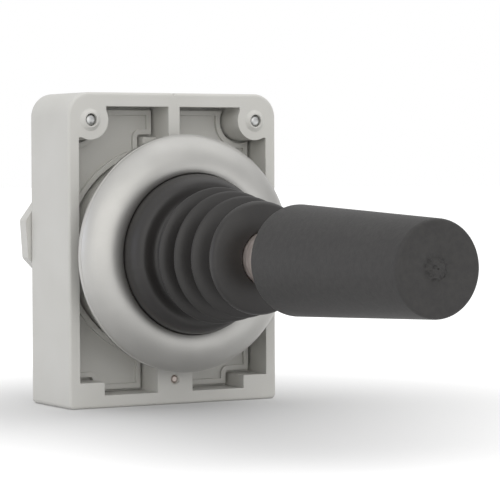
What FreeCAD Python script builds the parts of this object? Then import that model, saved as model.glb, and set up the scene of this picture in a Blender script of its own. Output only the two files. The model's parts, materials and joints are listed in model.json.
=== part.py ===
import FreeCAD, Part
import math
import os

# A four-way industrial joystick for a 22.5 mm panel hole, with its fixing adapter, in millimetres.
# +Z is up and the grip points to -Y. The origin is on the joystick's axis, in the plane where
# the front of the panel lies against the gasket.

# Panel
panel_space = 2.3
key_width = 3.0
key_radius = 12.7
key_length = 1.9

# Fixing adapter behind the panel
adapter_width = 29.8
adapter_top = 20.25
adapter_bottom = 19.3
adapter_depth = 10.8
side_wall = 1.5
top_wall = 1.75
bottom_wall = 1.6
top_corner_radius = 3.0
bottom_corner_radius = 0.6
front_edge_round = 0.4
pocket_depth = 4.1
floor_step = 0.4
bead_gap = 0.35
bead_width = 0.65
bead_groove = 0.5
seat_wall = 1.4
side_web = 5.0
top_rib_width = 1.6
bottom_rib_width = 5.0
rib_pad_width = 5.6
rib_pad_height = 14.7
rib_pad_drop = 3.3
corner_boss_x = 11.8
corner_boss_z = 16.8
corner_boss_radius = 2.5
corner_boss_web = 2.2
foot_block_width = 3.4
foot_block_height = 1.65
notch_width = 0.7
notch_depth = 0.45
notch_length = 1.6
latch_pitch = 7.8
latch_count = 3
latch_width = 2.8
latch_height = 1.5
latch_depth = 2.0
latch_edge = 1.2

# Clamp screws in the adapter's upper corners, and the pin in its lower rib
screw_tip_radius = 0.58
screw_tip_length = 2.9
screw_thread_radius = 1.25
screw_head_radius = 1.95
screw_head_height = 1.4
screw_slot_width = 0.45
screw_slot_depth = 0.6
screw_tip_recess = 0.15
screw_tip_chamfer = 0.25
screw_hole_radius = 0.78
screw_clearance = 0.1
screw_end_play = 0.1
collar_radius = 1.4
collar_edge = 0.95
collar_rise = 0.3
bush_wall = 0.65
bush_length = 4.0
bush_set_back = 0.5
bush_end_play = 0.3
pin_radius = 0.5
pin_length = 6.0
pin_height = 16.1
pin_recess = 0.2
pin_chamfer = 0.2
pin_dish_radius = 0.65
pin_dish_depth = 0.35

# Lock ring with its thumb tab, turned to hold the adapter on the neck
lock_wall = 1.25
lock_seat_depth = 3.0
lock_rise = 2.0
lock_turn = 40.0
tooth_angle = 24.0
tooth_height = 0.8
tooth_length = 1.0
tooth_recess = 1.2
tooth_root = 0.3
tooth_place = 90.0
tab_reach = 15.5
tab_shoulder_reach = 13.3
tab_thickness = 1.8
tab_tip = 4.9
tab_width = 10.0
tab_round = 0.5
tab_rise = 1.7
tab_slope = 4.0
hook_angle = 14.0
hook_wall = 0.75
hook_lip = 0.9
hook_root = 0.5
hook_places = (60.0, -60.0, -120.0)

# Head body: flange in front of the panel and neck through it
neck_radius = 11.0
neck_wall = 1.3
head_flange_radius = 13.8
head_flange_thickness = 0.8
gasket_thickness = 0.9
gasket_lap = 0.1
ledge_width = 0.9
ledge_thickness = 0.7

# Bezel ring
bezel_radius = 15.0
bezel_edge = 0.6
bezel_edge_round = 0.07
bezel_dome_radius = 14.8
bezel_shoulder_radius = 13.76
bezel_shoulder_front = 2.87
bezel_crown_radius = 11.4
bezel_crown_front = 3.45
bezel_mouth_radius = 10.05
bezel_mouth_front = 3.15
bezel_stand_off = 0.6

# Bellows boot: a base roll, three folds and a fourth that ends in a blunt face round the shaft
boot_flange_radius = 12.2
boot_flange_thickness = 0.6
boot_base_radius = 9.9
boot_base_front = 4.4
boot_base_valley = 7.0
boot_base_valley_place = 7.1
boot_base_steps = 3
boot_wall = 0.8
boot_first_fold = 9.0
fold_pitch = 3.35
fold_radii = (8.45, 7.86, 7.25, 6.8)
fold_flat = 0.45
fold_shoulder = 1.0
fold_shoulder_drop = 0.45
fold_foot = 1.35
fold_depth = 1.7
boot_face_drop = 1.0
boot_grip_length = 3.0
boot_clearance = 0.3

# Lever and its gimbal
pivot_depth = 4.0
tilt_limit = 15.0
shaft_radius = 3.25
shaft_neck_radius = 2.5
hub_radius = 5.3
hub_half_width = 1.7
hub_boss_radius = 3.6
gimbal_gap = 0.8
gimbal_wall = 1.5
pivot_pin_radius = 0.9
pin_engagement = 1.3
disc_radius = 6.9
disc_thickness = 1.2
disc_chamfer = 0.35
disc_place = 3.9
clip_width = 0.9
clip_thickness = 0.5
clip_gap_angle = 70.0
gate_clearance = 0.2
gate_corner_radius = 2.5
gate_thickness = 0.8
shaft_chamfer = 0.5
shaft_tail = 1.0

# Grip
grip_rear = 28.3
grip_length = 28.8
grip_rear_radius = 6.55
grip_front_radius = 5.4
grip_front_round = 0.7
grip_rear_round = 0.35
grip_bore_depth = 19.0
gate_mark_radius = 0.8
gate_mark_depth = 0.2
insert_wall = 1.4
insert_length = 12.0
insert_recess = 1.0
insert_groove = 0.4
insert_groove_count = 2

# Plungers and their guide
plunger_angles = {"right": 0, "up": 90, "left": 180, "down": 270}
plunger_circle = 6.0
plunger_head_radius = 1.7
plunger_head_thickness = 1.4
plunger_crown_radius = 0.9
plunger_crown_drop = 0.22
plunger_crown_edge = 0.95
plunger_stem_radius = 1.1
plunger_stem_round = 0.45
plunger_free_play = 0.7
plunger_stick_out = 2.2
spring_room = 3.0
guide_thickness = 1.6

# Coil springs
plunger_wire_radius = 0.15
plunger_coils = 4
plunger_coil_steps = 12
centre_spring_radius = 3.95
centre_wire_radius = 0.25
centre_coils = 3
centre_coil_steps = 20
wire_flats = 6

# Fits
running_gap = 0.05
press_gap = 0.01
slide_gap = 0.1

# Places along the axis that follow from the sizes above
adapter_front = panel_space
adapter_back = adapter_front + adapter_depth
adapter_half = adapter_width / 2
bore_radius = neck_radius + 2 * slide_gap
seat_radius = bore_radius + seat_wall
neck_bore = neck_radius - neck_wall
flange_back = -gasket_thickness
flange_front = flange_back - head_flange_thickness
disc_front = pivot_depth + disc_place
disc_back = disc_front + disc_thickness
plunger_tip = disc_back + plunger_free_play
plunger_seat = plunger_tip + plunger_head_thickness
guide_front = plunger_seat + spring_room
guide_back = guide_front + guide_thickness
neck_end = guide_back
lock_front = adapter_back - lock_seat_depth + slide_gap
lock_back = adapter_back + lock_rise
lock_inner = neck_radius + 1.5 * slide_gap
lock_outer = lock_inner + lock_wall
tooth_front = adapter_back - tooth_recess
thread_front = adapter_front + screw_tip_recess + screw_tip_length
head_front = adapter_back - screw_head_height
gimbal_inner = hub_radius + gimbal_gap
gimbal_outer = gimbal_inner + gimbal_wall
gate_reach = pivot_depth - flange_front
tilt = math.radians(tilt_limit)
gate_half_opening = (gate_reach * math.tan(tilt) / math.cos(tilt)
                     + shaft_radius / math.cos(tilt) ** 2 + gate_clearance)
grip_front = -grip_rear - grip_length
shaft_front = -grip_rear - grip_bore_depth + slide_gap
hub_front = pivot_depth - hub_half_width

AXIS = FreeCAD.Vector(0, 1, 0)
CENTRE = FreeCAD.Vector(0, 0, 0)


def cylinder(radius, start, end, x=0, z=0):
    """A round bar along the joystick's axis, from start to end."""
    return Part.makeCylinder(radius, end - start, FreeCAD.Vector(x, start, z), AXIS)


def tube(outer, inner, start, end):
    """A plain sleeve on the joystick's axis."""
    return cylinder(outer, start, end).cut(cylinder(inner, start - 1, end + 1))


def block(x0, x1, y0, y1, z0, z1):
    """A box between two corners, given in any order along X and Z."""
    corner = FreeCAD.Vector(min(x0, x1), y0, min(z0, z1))
    return Part.makeBox(abs(x1 - x0), y1 - y0, abs(z1 - z0), corner)


def soft_block(x0, x1, y0, y1, z0, z1, radius):
    """A box whose four edges along the axis are rounded, or sharp at a radius of nought."""
    box = block(x0, x1, y0, y1, z0, z1)
    if radius == 0:
        return box
    return box.makeFillet(radius, [e for e in box.Edges if e.BoundBox.YLength > (y1 - y0) / 2])


def polar(radius, angle, y=0):
    """A point at an angle from +X towards +Z, seen from the front."""
    turn = math.radians(angle)
    return FreeCAD.Vector(radius * math.cos(turn), y, radius * math.sin(turn))


def spin(edges, angle=360):
    """Turns a closed profile, drawn in radius (X) and axis (Y), about the joystick's axis."""
    return Part.Face(Part.Wire(edges)).revolve(CENTRE, AXIS, angle)


def outline(points):
    """Straight edges through points given as radius and place on the axis, closed."""
    corners = [FreeCAD.Vector(r, y, 0) for r, y in points]
    return Part.makePolygon(corners + corners[:1]).Edges


def find_circle(shape, place):
    """The round edges of a turned piece that lie in one plane across the axis."""
    return [e for e in shape.Edges if e.BoundBox.YLength < 0.001 and abs(e.BoundBox.YMin - place) < 0.001]


def turned(shape, angle):
    """A copy turned about the joystick's axis, from +X towards +Z."""
    copy = shape.copy()
    copy.rotate(CENTRE, AXIS, -angle)
    return copy


def soft_edge(radius, place, size, way):
    """Three points that round a turned piece's outer edge, from its end face to its side."""
    break_point = size * (1 - math.cos(math.radians(45)))
    return [(radius - size, place), (radius - break_point, place + way * break_point),
            (radius, place + way * size)]


def coil(radius, wire_radius, start, end, turns, steps):
    """A compression spring on the joystick's axis, its wire in short straight stretches."""
    rise = (end - start - 2 * wire_radius) / (turns * steps)
    section = []
    for i in range(wire_flats):
        side = 2 * math.pi * (i + 0.5) / wire_flats
        section.append((radius + wire_radius * math.cos(side), start + wire_radius * (1 + math.sin(side))))
    ring = Part.Wire(outline(section))
    rings = []
    for i in range(turns * steps + 1):
        copy = turned(ring, 360 * i / steps)
        copy.translate(FreeCAD.Vector(0, i * rise, 0))
        rings.append(copy)
    return Part.makeLoft(rings, True, True)


# Fixing adapter

def pocket(margin, y0, y1):
    """The four recesses of the adapter's front, each held a margin away from its walls."""
    half = adapter_half - side_wall
    top = adapter_top - top_wall
    bottom = adapter_bottom - bottom_wall
    room = block(-half + margin, half - margin, y0, y1, -bottom + margin, top - margin)
    boss = corner_boss_radius + margin
    web = corner_boss_web + margin
    solid = [
        cylinder(seat_radius + margin, y0, y1),
        block(-half, half, y0, y1, -side_web / 2 - margin, side_web / 2 + margin),
        block(-top_rib_width / 2 - margin, top_rib_width / 2 + margin, y0, y1, 0, top),
        block(-bottom_rib_width / 2 - margin, bottom_rib_width / 2 + margin, y0, y1, -bottom, 0),
    ]
    for side in (-1, 1):
        x = side * corner_boss_x
        foot = side * (half - foot_block_width - margin)
        solid += [
            cylinder(boss, y0, y1, x, corner_boss_z),
            block(x, side * half, y0, y1, corner_boss_z - web, top),
            block(x - side * web, side * half, y0, y1, corner_boss_z, top),
            soft_block(foot, side * half, y0, y1, -bottom, -bottom + foot_block_height + margin, margin),
        ]
    return room.cut(solid)


def rounded_case():
    """The adapter's outer block, with round upper corners and a soft front edge."""
    case = block(-adapter_half, adapter_half, adapter_front, adapter_back, -adapter_bottom, adapter_top)
    long_edges = [e for e in case.Edges if abs(e.tangentAt(e.FirstParameter).y) > 0.9]
    case = case.makeFillet(top_corner_radius, [e for e in long_edges if e.CenterOfMass.z > 0])
    long_edges = [e for e in case.Edges if e.CenterOfMass.z < 0 and abs(e.CenterOfMass.x) > adapter_half - 0.01]
    long_edges = [e for e in long_edges if abs(e.tangentAt(e.FirstParameter).y) > 0.9]
    case = case.makeFillet(bottom_corner_radius, long_edges)
    front = [e for e in case.Edges if abs(e.BoundBox.YMax - adapter_front) < 0.001]
    return case.makeFillet(front_edge_round, front)


def rib_pad(margin):
    """The low pad on both sides of the upper rib, beside the seat."""
    half = rib_pad_width / 2 + margin
    floor = adapter_front + pocket_depth + floor_step + bead_groove
    return soft_block(-half, half, adapter_front + rib_pad_drop, floor, 0, rib_pad_height + margin, margin)


def snap_hook(place):
    """One hook on the adapter's back that keeps the lock ring in its seat."""
    inner = lock_outer + 2 * slide_gap
    lip = lock_back + slide_gap
    profile = outline([
        (inner, adapter_back - hook_root),
        (inner + hook_wall, adapter_back - hook_root),
        (inner + hook_wall, lip + hook_lip),
        (inner - hook_lip / 2, lip + hook_lip),
        (inner - hook_lip, lip),
        (inner, lip),
    ])
    return turned(spin(profile, hook_angle), place + hook_angle / 2)


def adapter_frame():
    floor = adapter_front + pocket_depth
    groove = floor + floor_step + bead_groove
    body = rounded_case()
    recess = pocket(0, adapter_front - 1, groove)
    plateau = pocket(bead_gap, floor, groove).cut(rib_pad(bead_gap))
    lowered = pocket(bead_gap + bead_width, floor, floor + floor_step)
    lowered = lowered.cut(rib_pad(bead_gap + bead_width))
    recess = recess.cut(plateau.cut(lowered))
    recess = recess.cut(rib_pad(0))
    body = body.cut(recess)
    body = body.cut(cylinder(bore_radius, adapter_front - 1, adapter_back + 1))
    seat = lock_outer + 2 * slide_gap
    body = body.cut(cylinder(seat, adapter_back - lock_seat_depth, adapter_back + 1))
    body = body.fuse([snap_hook(place) for place in hook_places])
    body = body.fuse([screw_collar(side * corner_boss_x) for side in (-1, 1)])
    for side in (-1, 1):
        body = body.cut(screw_hole(side * corner_boss_x))
    body = body.cut(pin_hole())
    body = body.cut(latch_slots())
    body = body.cut(centre_notch())
    return body.removeSplitter()


def screw_collar(x):
    """The low cone that stands round the screw's tip."""
    return Part.makeCone(collar_edge, collar_radius, collar_rise,
                         FreeCAD.Vector(x, adapter_front - collar_rise, corner_boss_z), AXIS)


def screw_hole(x):
    """A hole for the tip in front, the bush's seat, and room for the screw's head behind."""
    z = corner_boss_z
    bush_front = thread_front - bush_set_back
    bush_outer = screw_thread_radius + bush_wall + press_gap
    tip = cylinder(screw_hole_radius, adapter_front - 1, bush_front, x, z)
    bush = cylinder(bush_outer, bush_front, head_front, x, z)
    head = cylinder(screw_head_radius + screw_clearance, head_front, adapter_back + 1, x, z)
    return tip.fuse([bush, head])


def pin_hole():
    dish = Part.makeCone(pin_dish_radius, pin_radius, pin_dish_depth,
                         FreeCAD.Vector(0, adapter_front, -pin_height), AXIS)
    hole = cylinder(pin_radius + press_gap, adapter_front - 1,
                    adapter_front + pin_recess + pin_length, 0, -pin_height)
    return dish.fuse(hole)


def latch_slots():
    """Slots in the back, above and below, for the hooks of contact blocks."""
    slots = []
    for i in range(latch_count):
        x = (i - (latch_count - 1) / 2) * latch_pitch
        wide = latch_width / 2
        for z in (adapter_top - latch_edge - latch_height, -adapter_bottom + latch_edge):
            slots.append(block(x - wide, x + wide, adapter_back - latch_depth, adapter_back + 1,
                               z, z + latch_height))
    return slots


def centre_notch():
    """The V-shaped mark in the upper front edge that shows the middle."""
    corners = [(-notch_width / 2, adapter_top + 0.01), (0, adapter_top - notch_depth),
               (notch_width / 2, adapter_top + 0.01)]
    points = [FreeCAD.Vector(x, adapter_front - 0.1, z) for x, z in corners]
    face = Part.Face(Part.makePolygon(points + points[:1]))
    return face.extrude(FreeCAD.Vector(0, notch_length, 0))


def clamp_screw(x):
    """A slotted screw driven from behind, its round tip just under the adapter's front."""
    z = corner_boss_z
    tip_front = adapter_front + screw_tip_recess
    tip = cylinder(screw_tip_radius, tip_front, thread_front, x, z)
    tip = tip.makeChamfer(screw_tip_chamfer, find_circle(tip, tip_front))
    seat = head_front + screw_end_play
    top = adapter_back - screw_end_play
    thread = cylinder(screw_thread_radius, thread_front, seat, x, z)
    head = cylinder(screw_head_radius, seat, top, x, z)
    half = screw_slot_width / 2
    slot = block(x - screw_head_radius - 1, x + screw_head_radius + 1,
                 top - screw_slot_depth, top + 1, z - half, z + half)
    return tip.fuse([thread, head]).cut(slot).removeSplitter()


def screw_bush(x):
    """The brass bush that the clamp screw turns in."""
    start = thread_front - bush_set_back + bush_end_play
    bush = cylinder(screw_thread_radius + bush_wall, start, start + bush_length, x, corner_boss_z)
    bore = cylinder(screw_thread_radius + press_gap, start - 1, start + bush_length + 1, x, corner_boss_z)
    return bush.cut(bore)


def locating_pin():
    start = adapter_front + pin_recess
    pin = cylinder(pin_radius, start, start + pin_length, 0, -pin_height)
    return pin.makeChamfer(pin_chamfer, find_circle(pin, start))


# Lock ring

def lock_tooth(grow, start, end):
    """One inward tooth, grown by a clearance for the slot that it passes through."""
    profile = outline([
        (neck_radius - tooth_height - grow, start),
        (lock_inner + tooth_root, start),
        (lock_inner + tooth_root, end),
        (neck_radius - tooth_height - grow, end),
    ])
    extra = math.degrees(grow / neck_radius)
    wide = tooth_angle + 2 * extra
    return turned(spin(profile, wide), wide / 2)


def lock_ring():
    ring = tube(lock_outer, lock_inner, lock_front, lock_back)
    tooth = lock_tooth(0, tooth_front, tooth_front + tooth_length)
    teeth = [turned(tooth, tooth_place), turned(tooth, tooth_place + 180)]
    return ring.fuse([thumb_tab()] + teeth).removeSplitter()


def thumb_tab():
    """The tab with slanting shoulders that shows beside the adapter."""
    root = lock_inner + lock_wall / 2
    half = [(-root, tab_width / 2), (-tab_shoulder_reach, tab_width / 2), (-tab_reach, tab_tip / 2)]
    corners = half + [(x, -z) for x, z in reversed(half)]
    points = [FreeCAD.Vector(x, lock_back - tab_thickness, z) for x, z in corners]
    tab = Part.Face(Part.makePolygon(points + points[:1])).extrude(FreeCAD.Vector(0, tab_thickness, 0))
    edges = [e for e in tab.Edges if abs(e.tangentAt(e.FirstParameter).y) > 0.9]
    edges = [e for e in edges if e.CenterOfMass.x < -tab_reach + 0.01]
    tab = tab.makeFillet(tab_round, edges)
    tab.rotate(FreeCAD.Vector(-tab_reach, 0, 0), AXIS, -tab_slope)
    tab.translate(FreeCAD.Vector(0, 0, tab_rise))
    return tab.cut(cylinder(root, lock_front, lock_back + 1))


# Head

def head_body():
    flange = cylinder(head_flange_radius, flange_front, flange_back)
    neck = cylinder(neck_radius, flange_back, neck_end)
    key = block(-key_width / 2, key_width / 2, flange_back, key_length, neck_radius - 1, key_radius)
    body = flange.fuse([neck, key])
    ledge = neck_bore - ledge_width
    ledge_front = flange_front + gate_thickness
    body = body.cut(cylinder(ledge, flange_front - 1, neck_end + 1))
    body = body.cut(cylinder(neck_bore, ledge_front + ledge_thickness, neck_end + 1))
    body = body.cut(cylinder(neck_bore, flange_front - 1, ledge_front))
    for turn in (0, 180):
        hole = Part.makeCylinder(pivot_pin_radius + press_gap, neck_radius + 1,
                                 FreeCAD.Vector(0, pivot_depth, 0), polar(1, turn))
        body = body.cut(hole)
    groove_front = tooth_front - slide_gap
    groove_back = tooth_front + tooth_length + slide_gap
    groove = tube(neck_radius + 1, neck_radius - tooth_height - slide_gap, groove_front, groove_back)
    body = body.cut(groove)
    slot = lock_tooth(slide_gap, groove_back - 0.05, neck_end + 1)
    for place in (tooth_place, tooth_place + 180):
        body = body.cut(turned(slot, place - lock_turn))
    return body.removeSplitter()


def bezel_ring():
    """The turned ring: a thin edge, a dome that rises to its crown, and a roll down to the boot."""
    back = -bezel_stand_off
    front = -bezel_stand_off - bezel_edge
    shoulder = boot_flange_radius + slide_gap
    clamp = flange_front - boot_flange_thickness - running_gap
    hollow = head_flange_radius + slide_gap
    corners = [
        (bezel_crown_radius, -bezel_crown_front),
        (bezel_mouth_radius, -bezel_mouth_front),
        (bezel_mouth_radius, clamp),
        (shoulder, clamp),
        (shoulder, flange_front - running_gap),
        (hollow, flange_front - running_gap),
        (hollow, back),
        (bezel_radius, back),
        (bezel_radius, front + bezel_edge_round),
        (bezel_radius - bezel_edge_round, front),
        (bezel_dome_radius, front),
    ]
    corners = [FreeCAD.Vector(r, y, 0) for r, y in corners]
    edges = [Part.LineSegment(a, b).toShape() for a, b in zip(corners, corners[1:])]
    middle = FreeCAD.Vector(bezel_shoulder_radius, -bezel_shoulder_front, 0)
    dome = Part.Arc(corners[-1], middle, corners[0]).toShape()
    return spin(edges + [dome])


def panel_gasket():
    ring = tube(head_flange_radius - gasket_lap, neck_radius + gasket_lap, flange_back, 0)
    half = key_width / 2 + gasket_lap
    return ring.cut(block(-half, half, flange_back - 1, 1, 0, key_radius + gasket_lap))


def gate_plate():
    """The plate whose square opening stops the lever in each direction."""
    plate = cylinder(neck_bore - slide_gap, flange_front, flange_front + gate_thickness)
    half = gate_half_opening
    opening = block(-half, half, flange_front - 1, flange_front + gate_thickness + 1, -half, half)
    edges = [e for e in opening.Edges if abs(e.tangentAt(e.FirstParameter).y) > 0.9]
    return plate.cut(opening.makeFillet(gate_corner_radius, edges))


def plunger_guide():
    """The plate that closes the neck behind and guides the four plungers."""
    plate = cylinder(neck_bore - press_gap, guide_front, guide_back)
    for angle in plunger_angles.values():
        place = polar(plunger_circle, angle)
        plate = plate.cut(cylinder(plunger_stem_radius + running_gap, guide_front - 1,
                                   guide_back + 1, place.x, place.z))
    return plate


def fold(radius, place):
    """One fold's outline from its rear foot over the top, as far as its front foot."""
    half = [(fold_flat, 0), (fold_shoulder, fold_shoulder_drop), (fold_foot, fold_depth)]
    rear = [(radius - drop, place + reach) for reach, drop in reversed(half)]
    front = [(radius - drop, place - reach) for reach, drop in half]
    return rear + front


def boot():
    """The bellows: a clamped flange, a base roll, and folds down to a face round the shaft."""
    flange_face = flange_front - boot_flange_thickness
    roll = boot_base_valley_place - boot_base_front
    drop = boot_base_radius - boot_base_valley
    outside = [(boot_base_radius, flange_face)]
    for i in range(boot_base_steps + 1):
        turn = math.radians(90 * i / boot_base_steps)
        outside.append((boot_base_valley + drop * math.cos(turn), -boot_base_front - roll * math.sin(turn)))
    for i, radius in enumerate(fold_radii):
        outside += fold(radius, -boot_first_fold - i * fold_pitch)
    outside.pop()
    hole = shaft_radius + boot_clearance
    front = outside[-1][1] - boot_face_drop
    first_foot = fold_radii[0] - fold_depth
    last_foot = fold_radii[-1] - fold_depth
    web_back = front + boot_grip_length
    inside = [
        (hole, front),
        (hole, web_back),
        (last_foot - boot_wall, web_back),
        (first_foot - boot_wall, -boot_first_fold + fold_foot),
        (boot_base_radius - boot_wall, -boot_base_front),
        (boot_base_radius - boot_wall, flange_front),
        (boot_flange_radius, flange_front),
        (boot_flange_radius, flange_face),
    ]
    return spin(outline(outside + inside))


# Gimbal

def bar_across(radius, start, end, angle):
    """A round pin that points outwards from the axis at the pivot's depth."""
    return Part.makeCylinder(radius, end - start, polar(start, angle, pivot_depth), polar(1, angle))


def pivot_pins():
    """The two pins that hold the gimbal ring in the neck's wall."""
    start = gimbal_outer - pin_engagement
    return Part.makeCompound([bar_across(pivot_pin_radius, start, neck_radius - slide_gap, a)
                              for a in (0, 180)])


def cross_pins():
    """The two pins that hold the hub in the gimbal ring."""
    start = hub_radius - pin_engagement
    return Part.makeCompound([bar_across(pivot_pin_radius, start, gimbal_outer - slide_gap, a)
                              for a in (90, 270)])


def gimbal_ring():
    ring = tube(gimbal_outer, gimbal_inner, hub_front, pivot_depth + hub_half_width)
    for angle in (0, 180):
        ring = ring.cut(bar_across(pivot_pin_radius + running_gap, 0, gimbal_outer + 1, angle))
    for angle in (90, 270):
        ring = ring.cut(bar_across(pivot_pin_radius + press_gap, 0, gimbal_outer + 1, angle))
    return ring


# Lever

def lever_shaft():
    """The steel rod: full size to the hub's front, thinner through hub and disc."""
    front = cylinder(shaft_radius, shaft_front, hub_front)
    rear = cylinder(shaft_neck_radius, hub_front, disc_back + clip_thickness + shaft_tail)
    groove = tube(shaft_neck_radius + 1, shaft_neck_radius - clip_width / 2, disc_back + press_gap,
                  disc_back + clip_thickness + 2 * press_gap)
    rod = front.fuse(rear).cut(groove).removeSplitter()
    return rod.makeChamfer(shaft_chamfer, find_circle(rod, shaft_front))


def lever_hub():
    """The hub on the shaft, with a bearing hole for each cross pin."""
    hub = cylinder(hub_radius, hub_front, pivot_depth + hub_half_width)
    boss = cylinder(hub_boss_radius, pivot_depth + hub_half_width, disc_front)
    hub = hub.fuse(boss)
    hub = hub.cut(cylinder(shaft_neck_radius + press_gap, hub_front - 1, disc_front + 1))
    start = hub_radius - pin_engagement - slide_gap
    for angle in (90, 270):
        hub = hub.cut(bar_across(pivot_pin_radius + running_gap, start, hub_radius + 1, angle))
    return hub.removeSplitter()


def actuating_disc():
    """The disc that pushes the plungers as the lever tilts."""
    disc = cylinder(disc_radius, disc_front, disc_back)
    disc = disc.makeChamfer(disc_chamfer, find_circle(disc, disc_back))
    return disc.cut(cylinder(shaft_neck_radius + press_gap, disc_front - 1, disc_back + 1))


def disc_clip():
    """The open steel clip in the shaft's groove, behind the disc."""
    inner = shaft_neck_radius - clip_width / 2 + press_gap
    start = disc_back + press_gap
    profile = outline([(inner, start), (inner + clip_width, start),
                       (inner + clip_width, start + clip_thickness), (inner, start + clip_thickness)])
    return turned(spin(profile, 360 - clip_gap_angle), 90 - clip_gap_angle / 2)


def grip():
    """The tapered handle, with rounded ends and the moulding's gate mark."""
    front = soft_edge(grip_front_radius, grip_front, grip_front_round, 1)
    rear = soft_edge(grip_rear_radius, -grip_rear, grip_rear_round, -1)
    body = spin(outline([(0, grip_front)] + front + rear[::-1] + [(0, -grip_rear)]))
    insert_front = -grip_rear - insert_recess - insert_length
    body = body.cut(cylinder(shaft_radius + slide_gap, shaft_front - slide_gap, 0))
    body = body.cut(cylinder(shaft_radius + insert_wall + press_gap, insert_front - press_gap, 0))
    return body.cut(cylinder(gate_mark_radius, grip_front - 1, grip_front + gate_mark_depth))


def grip_insert():
    """The brass bush moulded in the grip, with grooves that hold it."""
    front = -grip_rear - insert_recess - insert_length
    back = -grip_rear - insert_recess
    body = tube(shaft_radius + insert_wall, shaft_radius + press_gap, front, back)
    for i in range(insert_groove_count):
        middle = front + (i + 1) * insert_length / (insert_groove_count + 1)
        body = body.cut(tube(shaft_radius + insert_wall + 1, shaft_radius + insert_wall - insert_groove,
                             middle - insert_groove, middle + insert_groove))
    return body


# Plungers and springs

def plunger(angle):
    """A pin with a crowned head that the disc pushes back."""
    end = guide_back + plunger_stick_out
    pin = spin(outline([
        (0, plunger_tip),
        (plunger_crown_radius, plunger_tip + plunger_crown_drop),
        (plunger_head_radius, plunger_tip + plunger_crown_edge),
        (plunger_head_radius, plunger_seat),
        (plunger_stem_radius, plunger_seat),
        (plunger_stem_radius, end - plunger_stem_round),
        (plunger_stem_radius - plunger_stem_round, end),
        (0, end),
    ]))
    place = polar(plunger_circle, angle)
    pin.translate(FreeCAD.Vector(place.x, 0, place.z))
    return pin


def plunger_spring(angle):
    """The coil that lifts a plunger, between its head and the guide plate."""
    radius = (plunger_stem_radius + plunger_head_radius) / 2
    spring = coil(radius, plunger_wire_radius, plunger_seat + press_gap, guide_front - press_gap,
                  plunger_coils, plunger_coil_steps)
    place = polar(plunger_circle, angle)
    spring.translate(FreeCAD.Vector(place.x, 0, place.z))
    return spring


def centering_spring():
    """The wide coil that presses on the disc and brings the lever back."""
    return coil(centre_spring_radius, centre_wire_radius, disc_back + slide_gap, guide_front - press_gap,
                centre_coils, centre_coil_steps)


def both_sides(make):
    """Two alike pieces, left and right, kept as separate solids in one node."""
    return Part.makeCompound([make(-corner_boss_x), make(corner_boss_x)])


parts = {
    "adapter_frame": adapter_frame(),
    "clamp_screws": both_sides(clamp_screw),
    "screw_bushes": both_sides(screw_bush),
    "locating_pin": locating_pin(),
    "lock_ring": lock_ring(),
    "head_body": head_body(),
    "bezel_ring": bezel_ring(),
    "panel_gasket": panel_gasket(),
    "gate_plate": gate_plate(),
    "plunger_guide": plunger_guide(),
    "boot": boot(),
    "pivot_pins": pivot_pins(),
    "cross_pins": cross_pins(),
    "gimbal_ring": gimbal_ring(),
    "lever_shaft": lever_shaft(),
    "lever_hub": lever_hub(),
    "actuating_disc": actuating_disc(),
    "disc_clip": disc_clip(),
    "grip": grip(),
    "grip_insert": grip_insert(),
    "centering_spring": centering_spring(),
}
for name, angle in plunger_angles.items():
    parts["plunger_" + name] = plunger(angle)
    parts["plunger_spring_" + name] = plunger_spring(angle)

os.makedirs("parts", exist_ok=True)
for name, shape in parts.items():
    shape.exportStep("parts/" + name + ".step")
    print(name, len(shape.Solids), round(shape.Volume, 2), shape.isValid())
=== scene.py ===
# %% [markdown]
# A panel joystick with its fixing adapter
#
# This lesson dresses a finished mechanical model. The model's pieces arrive at their real size and place, and
# each step below gives one of them the surface of the real thing, or turns a finer skin for it. Everything is in
# metres. The joystick's axis is the Y axis, the grip points to -Y and +Z is up.

# %% Load the frame
import json
import math

import bmesh
import bpy
from mathutils import Matrix, Vector, noise
from mathutils.geometry import interpolate_bezier


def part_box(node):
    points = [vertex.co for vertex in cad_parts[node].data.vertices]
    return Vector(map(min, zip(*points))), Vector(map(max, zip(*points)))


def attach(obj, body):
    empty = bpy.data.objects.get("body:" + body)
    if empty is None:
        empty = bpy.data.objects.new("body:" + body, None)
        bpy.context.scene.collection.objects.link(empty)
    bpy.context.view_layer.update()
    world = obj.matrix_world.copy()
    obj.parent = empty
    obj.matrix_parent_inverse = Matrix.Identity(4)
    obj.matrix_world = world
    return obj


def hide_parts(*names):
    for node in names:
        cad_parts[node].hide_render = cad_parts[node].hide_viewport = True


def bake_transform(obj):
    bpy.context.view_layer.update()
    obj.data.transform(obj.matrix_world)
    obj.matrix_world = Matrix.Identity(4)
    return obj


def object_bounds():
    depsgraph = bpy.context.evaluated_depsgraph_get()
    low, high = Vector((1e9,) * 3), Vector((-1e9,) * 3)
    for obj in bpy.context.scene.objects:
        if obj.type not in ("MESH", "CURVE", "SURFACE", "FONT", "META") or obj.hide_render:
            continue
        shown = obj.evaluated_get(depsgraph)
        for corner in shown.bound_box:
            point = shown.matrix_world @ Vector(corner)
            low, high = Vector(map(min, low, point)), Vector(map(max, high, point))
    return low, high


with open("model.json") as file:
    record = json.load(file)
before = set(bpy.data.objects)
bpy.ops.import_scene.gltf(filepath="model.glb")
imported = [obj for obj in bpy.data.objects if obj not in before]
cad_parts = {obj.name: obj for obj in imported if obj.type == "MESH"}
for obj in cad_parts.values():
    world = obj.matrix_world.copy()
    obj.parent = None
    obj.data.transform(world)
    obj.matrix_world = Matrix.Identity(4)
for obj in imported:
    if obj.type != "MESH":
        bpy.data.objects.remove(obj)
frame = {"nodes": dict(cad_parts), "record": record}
cad_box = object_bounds()

# %% [markdown]
# Most sizes here are small, so they are written in millimetres and multiplied by one value. A pattern's scale is
# worked out from a real size too: a texture of scale 1 repeats about once per metre, so grains of a given size in
# millimetres need a scale of a thousand divided by that size.

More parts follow.
